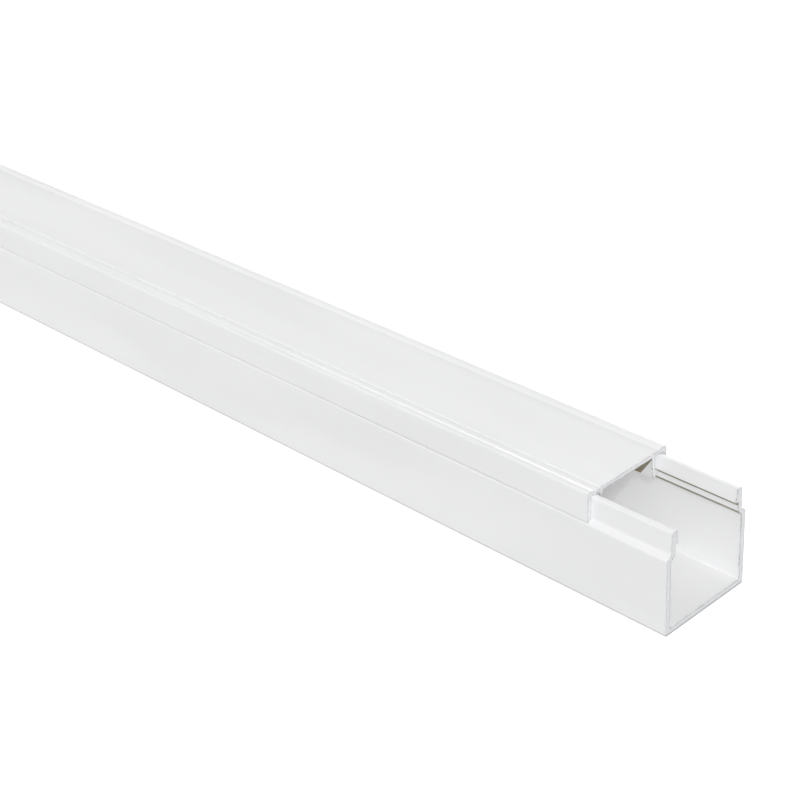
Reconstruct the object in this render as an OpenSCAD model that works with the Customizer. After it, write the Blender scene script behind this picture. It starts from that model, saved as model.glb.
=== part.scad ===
// Square plastic cable trunking: a channel whose walls end in barbed rails,
// and the lid that clips over the rails and slides along them.
// X runs along the trunking, Z points away from the wall it is fixed to.

/* [Length] */
// Length of the channel, and of the lid cut to match it
length = 2000; // [300:50:3000]
// How far the lid is drawn back from the channel's front end
lid_setback = 32; // [0:1:200]

/* [Channel] */
// Width over the side walls
width = 40; // [36:1:60]
// Height from the back of the floor to the crown of the lid's rims
height = 40; // [32:1:60]
// Thickness of the floor
floor_t = 2; // [1.4:0.1:3]
// Thickness of the side walls
wall_t = 1.9; // [1.4:0.1:2.2]
// Rounding of the two long corners at the back
back_r = 0.6; // [0.3:0.1:1]
// Rounding of the shoulder where each wall turns in to its rail
shoulder_r = 0.9; // [0.5:0.1:1.4]
// Fillet between the floor and the walls, inside
floor_r = 0.6; // [0.3:0.1:1.5]

/* [Rails] */
// Height of each rail above the shoulder of its wall
rail_h = 9.7; // [9:0.1:11]
// Height of the shoulder's slope, from the wall up to the rail
shoulder_rise = 1.7; // [1.2:0.1:2.4]
// How far the rail stands in from the wall's outer face
rail_inset = 2.1; // [1.8:0.1:2.5]
// Thickness of the rail's neck
neck_t = 1.8; // [1.4:0.1:2]
// Thickness of the rail at its top edge
rail_top_t = 2; // [1.6:0.1:2.4]
// How far the rail leans in by its top edge
rail_lean = 0.2; // [0:0.1:0.6]
// Rounding of the rail's outer top corner, which leads the lid on
lead_r = 0.9; // [0.4:0.1:1]
// Height of the barbed head on the inside of the rail
barb_h = 5.1; // [4:0.1:5.4]
// How far the lip of the barb stands in from the neck
barb_reach = 1.4; // [1:0.1:1.8]
// How far below the shoulder the inside of the wall starts to slope in
slope_drop = 1.1; // [0.8:0.1:1.6]
// Height of that slope, from the wall up to the neck
slope_h = 2.3; // [1.6:0.1:3]

/* [Lid] */
// Thickness of the lid's plate
plate_t = 1.3; // [1:0.1:1.8]
// Height of the rims above the plate
rim_raise = 0.5; // [0.4:0.1:1]
// Width of the flat crown of each rim, its rounded corner included
rim_w = 2; // [1.8:0.1:2.4]
// Rounding of the rim's outer corner
rim_r = 0.9; // [0.4:0.1:1.6]
// Width of the slope from the rim's crown down to the sunk band
rim_slope_w = 1.6; // [1.2:0.1:2]
// Rounding at the top and the foot of that slope
slope_r = 1; // [0.4:0.1:1.2]
// Width of the sunk band between each rim and the plate
band_w = 2.4; // [1.5:0.1:3]
// Depth of the sunk band below the plate
band_depth = 0.3; // [0.1:0.05:0.4]
// How far the skirt's face stands in from the channel's
lid_inset = 0.3; // [0.1:0.05:0.5]
// Thickness of the clip leg inside the rail, where it leaves the plate
leg_t = 1.6; // [1.4:0.1:1.8]
// How much thinner the leg is by its foot
leg_taper = 0.7; // [0.4:0.1:0.8]
// Height of the hook on the leg's foot
hook_h = 2.4; // [2:0.1:2.6]
// Height of the blunt nose of the hook
nose_h = 0.6; // [0.4:0.1:0.8]
// How far the hook reaches in under the lip of the barb
hook_grip = 0.8; // [0.5:0.05:1]

/* [Fit] */
// Gap between the rail's top edge and the plate
rail_gap = 0.2; // [0.2:0.05:0.5]
// Gap between the skirt and the side of the rail
side_gap = 0.3; // [0.25:0.05:0.5]
// Upright gap between the skirt and the shoulder's slope
skirt_gap = 0.4; // [0.3:0.05:0.6]
// Gap between the hook and the underside of the barb
hook_gap = 0.4; // [0.25:0.05:0.5]
// Gap between the leg and the lip of the barb
leg_gap = 0.7; // [0.3:0.05:0.9]

/* [Hidden] */
ARC_STEPS = 5;
edge_r = 0.25;       // small roundings that the extrusion die leaves
plastic = [0.93, 0.94, 0.95];

// Channel section, outwards from the middle
half_w = width / 2;
wall_in = half_w - wall_t;
rail_out = half_w - rail_inset;
neck_in = rail_out - neck_t;
lip_y = neck_in - barb_reach;
top_out = rail_out - rail_lean;
top_in = top_out - rail_top_t;

// Heights, down from the lid's rims
plate_top = height - rim_raise;
plate_under = plate_top - plate_t;
rail_top = plate_under - rail_gap;
shoulder_z = rail_top - rail_h;
barb_z = rail_top - barb_h;
slope_foot = shoulder_z - slope_drop;
slope_head = slope_foot + slope_h;

// Lid section, inwards from the skirt's face
skirt_out = half_w - lid_inset;
skirt_in = rail_out + side_gap;
rim_in = skirt_out - rim_w;
band_out = rim_in - rim_slope_w;
band_in = band_out - band_w;
band_z = plate_top - band_depth;
leg_out = lip_y - leg_gap;
leg_in = leg_out - leg_t;
foot_in = leg_in + leg_taper;
hook_z = barb_z - hook_gap;
hook_y = lip_y + hook_grip;
foot_z = hook_z - hook_h;

// Height of the skirt's lower edge, parallel to the shoulder's slope
function skirt_z(y) = shoulder_z + shoulder_rise * (half_w - y) / rail_inset + skirt_gap;

// An outline is a list of corners [y, z, rounding radius]
function at(p) = [p.x, p.y];
function unit(v) = v / norm(v);
function turned(v, a) = [v.x * cos(a) - v.y * sin(a), v.x * sin(a) + v.y * cos(a)];

// One corner of an outline as its points: itself, or an arc tangent to both sides
function corner(before, p, after) =
    p.z == 0 ? [at(p)] :
    let (
        a = unit(at(before) - at(p)),
        b = unit(at(after) - at(p)),
        half = acos(a * b) / 2,
        centre = at(p) + unit(a + b) * p.z / sin(half),
        first = at(p) + a * p.z / tan(half) - centre,
        last = at(p) + b * p.z / tan(half) - centre,
        sweep = sign(cross(first, last)) * (180 - 2 * half)
    )
    [for (i = [0:ARC_STEPS]) centre + turned(first, sweep * i / ARC_STEPS)];

function rounded(outline) =
    let (n = len(outline))
    [for (i = [0:n - 1]) each corner(outline[(i + n - 1) % n], outline[i], outline[(i + 1) % n])];

// The same corners on the other side of the middle, in the opposite order
function mirrored(side) = [for (i = [len(side) - 1:-1:0]) [-side[i].x, side[i].y, side[i].z]];

// One side of the channel, from its back corner up the outside and down the inside
channel_side = [
    [half_w, 0, back_r],
    [half_w, shoulder_z, shoulder_r],
    [rail_out, shoulder_z + shoulder_rise, shoulder_r],
    [top_out, rail_top, lead_r],
    [top_in, rail_top, edge_r],
    [lip_y, barb_z, edge_r],
    [neck_in, barb_z, edge_r],
    [neck_in, slope_head, edge_r],
    [wall_in, slope_foot, edge_r],
    [wall_in, floor_t, floor_r]
];

// One side of the lid's outer face, from the skirt's edge up to the plate
lid_face = [
    [skirt_out, skirt_z(skirt_out), 0],
    [skirt_out, height, rim_r],
    [rim_in, height, slope_r],
    [band_out, band_z, slope_r],
    [band_in, band_z, 0],
    [band_in - band_depth, plate_top, 0]
];

// One side of its underside, from the leg outwards to the skirt's edge
lid_underside = [
    [leg_in, plate_under, edge_r],
    [foot_in, foot_z, edge_r],
    [leg_out, foot_z, edge_r],
    [hook_y, hook_z - nose_h, 0],
    [hook_y, hook_z, 0],
    [leg_out, hook_z, 0],
    [leg_out, plate_under, edge_r],
    [skirt_in, plate_under, edge_r],
    [skirt_in, skirt_z(skirt_in), 0]
];

module extruded(outline, front) {
    translate([front - length, 0, 0])
        rotate([90, 0, 90])
            linear_extrude(height = length)
                polygon(rounded(outline));
}

module channel() {
    color(plastic)
        extruded(concat(channel_side, mirrored(channel_side)), length / 2);
}

module lid() {
    color(plastic)
        extruded(
            concat(lid_face, mirrored(lid_face), mirrored(lid_underside), lid_underside),
            length / 2 - lid_setback
        );
}

channel();
lid();
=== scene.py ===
"""Looks for a length of white PVC cable trunking whose lid is drawn back from the front end."""
import math
import random

import bmesh
import bpy
from mathutils import Matrix, Vector
from mathutils.bvhtree import BVHTree


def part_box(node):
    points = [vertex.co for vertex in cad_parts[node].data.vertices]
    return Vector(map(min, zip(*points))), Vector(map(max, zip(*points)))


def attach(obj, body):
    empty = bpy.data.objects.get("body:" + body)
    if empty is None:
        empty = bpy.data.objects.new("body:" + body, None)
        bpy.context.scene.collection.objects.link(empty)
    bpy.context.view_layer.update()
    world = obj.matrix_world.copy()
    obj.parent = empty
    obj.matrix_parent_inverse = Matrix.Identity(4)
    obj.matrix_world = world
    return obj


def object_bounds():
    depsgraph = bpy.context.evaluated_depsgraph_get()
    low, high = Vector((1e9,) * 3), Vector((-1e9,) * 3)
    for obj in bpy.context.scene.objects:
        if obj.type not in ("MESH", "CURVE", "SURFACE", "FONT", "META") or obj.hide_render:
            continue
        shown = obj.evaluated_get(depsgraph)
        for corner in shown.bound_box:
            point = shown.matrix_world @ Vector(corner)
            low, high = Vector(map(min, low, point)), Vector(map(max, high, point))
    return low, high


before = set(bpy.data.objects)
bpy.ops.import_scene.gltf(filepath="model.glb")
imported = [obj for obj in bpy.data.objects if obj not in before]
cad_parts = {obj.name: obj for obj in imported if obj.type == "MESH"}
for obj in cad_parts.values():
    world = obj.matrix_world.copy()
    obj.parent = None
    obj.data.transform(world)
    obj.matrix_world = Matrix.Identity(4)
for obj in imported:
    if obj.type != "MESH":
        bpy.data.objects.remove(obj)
cad_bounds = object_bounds()

MM = 0.001

# The camera stands in front of the open end, on its near side, and looks back along the trunking
CAMERA_OFFSET = Vector((304.0, -415.1, 369.7)) * MM  # from the middle of the back's front edge
CAMERA_BEARING = -43.28                              # degrees round from +X, seen from the part
CAMERA_ELEVATION = 29.52
CAMERA_ROLL = 3.2
CAMERA_VIEW = 23.3                                   # degrees across the square picture

SKY_LOW, SKY_HIGH = 0.18, 0.72  # strength of the sky at the horizon and overhead
LAMPS = (                       # name, bearing and elevation, strength, and degrees across
    ("key", -43.3, 43.0, 0.22, 4.0),
    ("front", -20.0, 8.0, 0.90, 30.0),
    ("back", 112.0, 8.0, 0.40, 30.0),
)
BOUNCES, DIFFUSE_BOUNCES = 24, 16  # light has to find its way under the lid

FLOOR_SIZE = 12           # metres
FLOOR_GREY = 0.65
FLOOR_GLOW = 0.55         # what the floor adds for the camera, so that it shows white

# Heights and places on the section
SLOPE_FOOT = 27.2 * MM    # where the inside of the wall starts to slope in under the rail
BARB_LIP = 32.9 * MM      # the lip of the barb
BACK_CORNER = 0.8 * MM    # the top of the rounded corners at the back
LID_DEPTH = 1.8 * MM      # from the lid's rims down to the underside of its plate
LEG_OUT = 13.9 * MM       # just inside the outer face of the lid's legs
LIT_DEPTH = 0.7           # how far in from a cut the legs are left lit before their painted shadow, for each step down from the plate

BURR_STEP = 0.7 * MM      # about how far apart the saw's flakes stand along the rim of a cut
BURR_LENGTH = 0.45 * MM   # half the length of the longest flake
BURR_HEIGHT = 0.42 * MM   # how far the highest flake stands out
BURR_SHARE = 0.4          # how much of the gap before it a flake may fill
BURR_ROOT = 0.05 * MM     # how deep a flake is rooted in the solid
TIGHT = 0.1 * MM          # no flake stands in a gap narrower than this
EDGE_SNAP = 0.001 * MM    # corners closer than this are one corner

WHITE = (0.925, 0.928, 0.934)    # fresh PVC
SPECK = (0.45, 0.45, 0.44)       # grit in the skin
SAWN_AND_SHADE = (0.50, 0.505, 0.515)      # the roughened cut, greyed with painted shade
BURR = (0.17, 0.175, 0.19)       # dark grey, along the rim of the cut and on its flakes
PAINTED_SHADE = (0.20, 0.17, 0.09)      # painted shade, brown, where little light gets in
CORNER_SHADE = (0.22, 0.22, 0.23)       # painted shade on the rounded corners at the back, low down by the floor


def toward(bearing, elevation):
    """The unit vector from the part towards something at this bearing and elevation, in degrees."""
    bearing, elevation = math.radians(bearing), math.radians(elevation)
    return Vector((
        math.cos(elevation) * math.cos(bearing),
        math.cos(elevation) * math.sin(bearing),
        math.sin(elevation),
    ))


def facing(backward):
    """The rotation of a lamp or camera whose back points along backward, with its top upwards."""
    right = Vector((0, 0, 1)).cross(backward).normalized()
    return Matrix((right, backward.cross(right), backward)).transposed()


def front_point():
    """The middle of the back's front edge, where the near end of the channel stands on the floor."""
    low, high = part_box("channel")
    return Vector((high.x, (low.y + high.y) / 2, low.z))


def make_camera():
    backward = toward(CAMERA_BEARING, CAMERA_ELEVATION)
    turn = Matrix.Rotation(-math.radians(CAMERA_ROLL), 3, backward)
    data = bpy.data.cameras.new("camera")
    data.sensor_fit = "HORIZONTAL"
    data.angle = math.radians(CAMERA_VIEW)
    data.clip_end = 50
    camera = bpy.data.objects.new("camera", data)
    place = Matrix.Translation(front_point() + CAMERA_OFFSET)
    camera.matrix_world = place @ (turn @ facing(backward)).to_4x4()
    bpy.context.scene.collection.objects.link(camera)
    bpy.context.scene.camera = camera


def node(tree, kind, **values):
    """A new shader node, with its settings and the values of its inputs by name."""
    made = tree.nodes.new(kind)
    for name, value in values.items():
        if hasattr(made, name):
            setattr(made, name, value)
        else:
            made.inputs[name.replace("_", " ")].default_value = value
    return made


def link(tree, source, target):
    tree.links.new(source, target)


def feed(tree, socket, value):
    """Gives an input a number, a vector, or the output of another node."""
    if isinstance(value, bpy.types.NodeSocket):
        link(tree, value, socket)
    else:
        socket.default_value = value


def maths(tree, operation, *values):
    made = node(tree, "ShaderNodeMath", operation=operation)
    for socket, value in zip(made.inputs, values):
        feed(tree, socket, value)
    return made.outputs[0]


def vectors(tree, operation, *values):
    made = node(tree, "ShaderNodeVectorMath", operation=operation)
    for socket, value in zip(made.inputs, values):
        feed(tree, socket, value)
    return made


def ramp(tree, value, start, end):
    """0 where value is at start, 1 where it is at end, smooth between and level beyond."""
    made = node(tree, "ShaderNodeMapRange", interpolation_type="SMOOTHSTEP")
    made.inputs["From Min"].default_value = start
    made.inputs["From Max"].default_value = end
    link(tree, value, made.inputs["Value"])
    return made.outputs["Result"]


def noise(tree, place, size, detail=1):
    """Noise between 0 and 1 whose grains are about size metres long on each axis."""
    scaled = vectors(tree, "DIVIDE", place, size)
    made = node(tree, "ShaderNodeTexNoise", Scale=1, Detail=detail)
    link(tree, scaled.outputs[0], made.inputs["Vector"])
    return made.outputs["Fac"]


def tinted(tree, colour, share, tint):
    """colour, which is a colour or an output, with this share of it turned into tint."""
    mix = node(tree, "ShaderNodeMix", data_type="RGBA")
    link(tree, share, mix.inputs[0])
    for socket, value in ((mix.inputs[6], colour), (mix.inputs[7], tint)):
        feed(tree, socket, value if isinstance(value, bpy.types.NodeSocket) else (*value, 1))
    return mix.outputs[2]


def new_material(name):
    material = bpy.data.materials.new(name)
    material.use_nodes = True
    material.node_tree.nodes.clear()
    return material, material.node_tree


def seen_ray(tree):
    """1 for a ray that shows the background: from the camera, or mirrored or let through on its way."""
    path = node(tree, "ShaderNodeLightPath")
    mirrored = maths(tree, "MAXIMUM", path.outputs["Is Glossy Ray"], path.outputs["Is Transmission Ray"])
    return maths(tree, "MAXIMUM", path.outputs["Is Camera Ray"], mirrored)


def split(tree, vector):
    """The outputs X, Y and Z of a vector."""
    made = node(tree, "ShaderNodeSeparateXYZ")
    link(tree, vector, made.inputs[0])
    return made.outputs


def inward(tree, place, normal):
    """1 on the faces that look towards the middle of the section."""
    side = maths(tree, "SIGN", split(tree, place)["Y"])
    return ramp(tree, maths(tree, "MULTIPLY", split(tree, normal)["Y"], side), -0.3, -0.6)


def product(tree, *values):
    """All the values multiplied together."""
    result = values[0]
    for value in values[1:]:
        result = maths(tree, "MULTIPLY", result, value)
    return result


def rail_painted_shade(tree, place, normal):
    """Painted shade: 1 in the undercuts of the channel's rails, close under the barb, and on the slope
    below the neck.
    """
    height = split(tree, place)["Z"]
    down = split(tree, normal)["Z"]
    below_barb = ramp(tree, height, BARB_LIP + 0.2 * MM, BARB_LIP)
    slope = product(
        tree,
        ramp(tree, down, -0.45, -0.6),
        ramp(tree, down, -0.9, -0.8),
        ramp(tree, height, SLOPE_FOOT - 0.1 * MM, SLOPE_FOOT + 0.3 * MM),
        below_barb,
    )
    close = ramp(tree, height, BARB_LIP - 1.6 * MM, BARB_LIP - 1.2 * MM)
    return maths(tree, "MAXIMUM", slope, product(tree, below_barb, close, inward(tree, place, normal)))


def leg_painted_shadow(tree, place, normal):
    """1 on the inside of the lid's legs, from where the light over the cut no longer reaches: a painted
    shadow, with a slanting edge like a cast shadow's.
    """
    low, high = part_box("lid")
    where = split(tree, place)
    along = maths(tree, "ABSOLUTE", maths(tree, "SUBTRACT", where["X"], (low.x + high.x) / 2))
    depth = maths(tree, "SUBTRACT", (high.x - low.x) / 2, along)
    drop = maths(tree, "SUBTRACT", high.z - LID_DEPTH, where["Z"])
    past = maths(tree, "MULTIPLY_ADD", drop, -LIT_DEPTH, depth)
    return product(
        tree,
        ramp(tree, maths(tree, "ABSOLUTE", where["Y"]), LEG_OUT, LEG_OUT - 0.2 * MM),
        ramp(tree, past, -0.6 * MM, -0.1 * MM),
        inward(tree, place, normal),
    )


def pvc(name, offset, painted_shade_mask):
    """White PVC, faintly clouded and streaked by the extruder, with rough sawn ends greyed by painted
    shade, and painted shade on the back's bottom corners and in the hollows.
    """
    material, tree = new_material(name)
    coordinates = node(tree, "ShaderNodeTexCoord")
    geometry = node(tree, "ShaderNodeNewGeometry")
    section = coordinates.outputs["Object"]
    place = vectors(tree, "ADD", section, offset).outputs[0]

    # How far a rounded corner's normal turns from one face to the next shows the rim of the cut
    rounded = node(tree, "ShaderNodeBevel", samples=6, Radius=0.3 * MM).outputs[0]
    turned = maths(tree, "ABSOLUTE", split(tree, rounded)["X"])
    sawn = ramp(tree, maths(tree, "ABSOLUTE", split(tree, coordinates.outputs["Normal"])["X"]), 0.6, 0.8)
    torn = noise(tree, place, (0.5 * MM, 0.9 * MM, 0.9 * MM), 2)
    # darker along the rim of the cut, in broken stretches
    burr = product(
        tree, ramp(tree, turned, 0.1, 0.5), ramp(tree, turned, 1.0, 0.9), ramp(tree, torn, 0.3, 0.55)
    )

    cloud = noise(tree, place, (90 * MM, 22 * MM, 22 * MM))
    streak = noise(tree, place, (400 * MM, 0.8 * MM, 0.8 * MM), 2)
    speck = noise(tree, place, (0.9 * MM, 0.6 * MM, 0.6 * MM))
    grain = noise(tree, place, (0.3 * MM, 0.9 * MM, 0.3 * MM), 3)
    # painted shade on the back's rounded corners, growing darker towards the floor
    corner_shade = ramp(tree, split(tree, section)["Z"], BACK_CORNER, BACK_CORNER - 0.45 * MM)
    # painted shade from the body's own mask: in the rails' undercuts on the channel, inside the legs on
    # the lid
    painted_shade = painted_shade_mask(tree, section, geometry.outputs["Normal"])

    body = tinted(tree, WHITE, ramp(tree, cloud, 0.35, 0.75), tuple(0.965 * v for v in WHITE))
    body = tinted(tree, body, product(tree, ramp(tree, speck, 0.80, 0.86), 0.25), SPECK)
    # the cut is rough and grainy, and its grey is painted shade
    cut = tinted(tree, SAWN_AND_SHADE, ramp(tree, grain, 0.35, 0.7), tuple(1.15 * v for v in SAWN_AND_SHADE))
    colour = tinted(tree, body, sawn, cut)
    # darken the rim of the cut, then paint shade on the back's bottom corners and in the hollows
    for mask, share, tint in ((burr, 0.7, BURR), (corner_shade, 0.75, CORNER_SHADE), (painted_shade, 0.9, PAINTED_SHADE)):
        colour = tinted(tree, colour, product(tree, mask, share), tint)

    rough = node(tree, "ShaderNodeMix", data_type="FLOAT")
    link(tree, sawn, rough.inputs[0])
    link(tree, maths(tree, "MULTIPLY_ADD", streak, 0.16, 0.37), rough.inputs[2])
    rough.inputs[3].default_value = 0.8

    lines = node(tree, "ShaderNodeBump", Strength=0.25, Distance=0.02 * MM)
    link(tree, streak, lines.inputs["Height"])
    link(tree, rounded, lines.inputs["Normal"])
    teeth = node(tree, "ShaderNodeBump", Distance=0.15 * MM)
    link(tree, product(tree, sawn, 0.6), teeth.inputs["Strength"])
    link(tree, grain, teeth.inputs["Height"])
    link(tree, lines.outputs[0], teeth.inputs["Normal"])

    shader = node(tree, "ShaderNodeBsdfPrincipled")
    out = node(tree, "ShaderNodeOutputMaterial")
    link(tree, colour, shader.inputs["Base Color"])
    link(tree, rough.outputs[0], shader.inputs["Roughness"])
    link(tree, teeth.outputs[0], shader.inputs["Normal"])
    link(tree, shader.outputs[0], out.inputs[0])
    return material


def flake_material():
    """Torn PVC, pale in patches like the cut and dark grey in others."""
    material, tree = new_material("pvc_torn")
    coordinates = node(tree, "ShaderNodeTexCoord")
    patch = noise(tree, coordinates.outputs["Object"], (0.7 * MM, 0.7 * MM, 0.7 * MM), 2)
    # patches of the cut's colour, greyed with painted shade, among dark grey ones
    colour = tinted(tree, SAWN_AND_SHADE, ramp(tree, patch, 0.35, 0.65), BURR)
    shader = node(tree, "ShaderNodeBsdfPrincipled", Roughness=0.85)
    out = node(tree, "ShaderNodeOutputMaterial")
    link(tree, colour, shader.inputs["Base Color"])
    link(tree, shader.outputs[0], out.inputs[0])
    return material


def cut_rims(body, side):
    """The edges round the cut at one end of a body: the two ends of each, and the way its flank looks."""
    mesh = body.data
    faces_at = {}
    for face in mesh.polygons:
        corners = [mesh.vertices[i].co for i in face.vertices]
        for a, b in zip(corners, corners[1:] + corners[:1]):
            key = frozenset(tuple(round(v / EDGE_SNAP) for v in p) for p in (a, b))
            faces_at.setdefault(key, []).append((face.normal.copy(), a.copy(), b.copy()))
    for faces in faces_at.values():
        cut = [f for f in faces if f[0].x * side > 0.9]
        flank = [f for f in faces if abs(f[0].x) < 0.1]
        if cut and flank:
            yield flank[0][1], flank[0][2], flank[0][0]


def room_before(edge, away, solids):
    """How far it is from a rim to the next solid or to the side of the part's box, whichever is nearer."""
    low, high = cad_bounds
    start = edge + away * 0.01 * MM
    start.x = 0  # both bodies are there, wherever the edge is
    room = min([solid.ray_cast(start, away)[3] or 1 for solid in solids])
    for axis in (1, 2):
        if abs(away[axis]) > 0.1:
            limit = high[axis] if away[axis] > 0 else low[axis]
            room = min(room, (limit - start[axis]) / away[axis])
    return room


def add_flake(verts, faces, foot, along, away, back, tip):
    """A pyramid whose base stands in the flank of the cut and whose tip is torn out of it."""
    first = len(verts)
    root = foot - away * BURR_ROOT
    for a, b in ((-1, 0), (1, 0), (1, 1), (-1, 1)):
        verts.append(root + along * a + back * b)
    verts.append(tip)
    faces.append([first + i for i in (3, 2, 1, 0)])
    for i in range(4):
        faces.append([first + i, first + (i + 1) % 4, first + 4])


def add_flakes(verts, faces, chance, side, rim, room):
    """Flakes along one edge of a cut, at uneven steps."""
    start, end, away = rim
    length = (end - start).length
    run = (end - start) / length
    place = chance.uniform(0, BURR_STEP)
    while place < length:
        half = BURR_LENGTH * chance.uniform(0.2, 1)
        foot = start + run * place
        foot.x -= side * chance.uniform(0, 0.04) * MM
        half = min(half, max(place, 0.1 * MM), max(length - place, 0.1 * MM))
        height = min(BURR_HEIGHT, BURR_SHARE * room) * chance.uniform(0.25, 1)
        back = Vector((-side * chance.uniform(0.06, 0.14) * MM, 0, 0))
        tip = foot + away * height + run * half * chance.uniform(-0.7, 0.7) + back * 0.3
        add_flake(verts, faces, foot, run * half, away, back, tip)
        place += BURR_STEP * chance.uniform(0.5, 1.5)


def mesh_of(name, verts, faces):
    """A mesh of these faces, all of them looking outwards."""
    mesh = bpy.data.meshes.new(name)
    mesh.from_pydata(verts, [], faces)
    shape = bmesh.new()
    shape.from_mesh(mesh)
    bmesh.ops.recalc_face_normals(shape, faces=shape.faces)
    shape.to_mesh(mesh)
    shape.free()
    return mesh


def make_burrs():
    """Small torn flakes that the saw left standing round each cut, where nothing slides past them."""
    material = flake_material()
    chance = random.Random(7)
    bodies = {name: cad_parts[name] for name in ("channel", "lid")}
    solids = [
        BVHTree.FromPolygons([v.co for v in o.data.vertices], [p.vertices for p in o.data.polygons])
        for o in bodies.values()
    ]
    for name, body in bodies.items():
        verts, faces = [], []
        for side in (-1, 1):
            for rim in cut_rims(body, side):
                start, end, away = rim
                room = room_before((start + end) / 2, away, solids)
                if room >= TIGHT:
                    add_flakes(verts, faces, chance, side, rim, room)
        mesh = mesh_of(name + "_burr", verts, faces)
        mesh.materials.append(material)
        burr = bpy.data.objects.new(name + "_burr", mesh)
        bpy.context.scene.collection.objects.link(burr)
        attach(burr, name)


def make_floor():
    """A plain floor that takes the shadow and shows white."""
    bpy.ops.mesh.primitive_plane_add(size=FLOOR_SIZE, location=(0, 0, 0))
    floor = bpy.context.object
    floor.name = "floor"
    material, tree = new_material("floor_white")
    out = node(tree, "ShaderNodeOutputMaterial")
    matt = node(tree, "ShaderNodeBsdfDiffuse", Color=(FLOOR_GREY, FLOOR_GREY, FLOOR_GREY, 1))
    glow = node(tree, "ShaderNodeEmission")
    both = node(tree, "ShaderNodeAddShader")
    link(tree, product(tree, seen_ray(tree), FLOOR_GLOW), glow.inputs["Strength"])
    link(tree, matt.outputs[0], both.inputs[0])
    link(tree, glow.outputs[0], both.inputs[1])
    link(tree, both.outputs[0], out.inputs[0])
    floor.data.materials.append(material)


def make_sky():
    """A soft sky, brighter overhead, that shows as white where it is seen."""
    world = bpy.data.worlds.new("world")
    bpy.context.scene.world = world
    world.use_nodes = True
    tree = world.node_tree
    sky = tree.nodes["Background"]
    sky.inputs["Color"].default_value = (1, 1, 1, 1)
    where = node(tree, "ShaderNodeTexCoord")
    strength = node(tree, "ShaderNodeMapRange", clamp=True)
    strength.inputs["To Min"].default_value = SKY_LOW
    strength.inputs["To Max"].default_value = SKY_HIGH
    link(tree, split(tree, where.outputs["Generated"])["Z"], strength.inputs["Value"])
    level = node(tree, "ShaderNodeMix", data_type="FLOAT")
    link(tree, seen_ray(tree), level.inputs[0])
    link(tree, strength.outputs[0], level.inputs[2])
    level.inputs[3].default_value = 1
    link(tree, level.outputs[0], sky.inputs["Strength"])


def make_lamps():
    for name, bearing, elevation, strength, across in LAMPS:
        sun = bpy.data.lights.new(name, "SUN")
        sun.energy = strength * math.pi
        sun.angle = math.radians(across)
        lamp = bpy.data.objects.new(name, sun)
        lamp.matrix_world = facing(toward(bearing, elevation)).to_4x4()
        bpy.context.scene.collection.objects.link(lamp)


make_camera()
make_floor()
make_sky()
make_lamps()
# The lid's pattern is taken from another place in the noise, so that it doesn't follow the channel's
# the channel has painted shade in its undercuts, the lid a painted shadow inside its legs
for name, offset, painted_shade_mask in (("channel", (0, 0, 0), rail_painted_shade), ("lid", (5, 0, 0), leg_painted_shadow)):
    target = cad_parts[name]
    target.data.materials.clear()
    target.data.materials.append(pvc("pvc_" + name, offset, painted_shade_mask))
make_burrs()
bpy.context.scene.cycles.max_bounces = BOUNCES
bpy.context.scene.cycles.diffuse_bounces = DIFFUSE_BOUNCES
bpy.context.scene.view_settings.view_transform = "Standard"
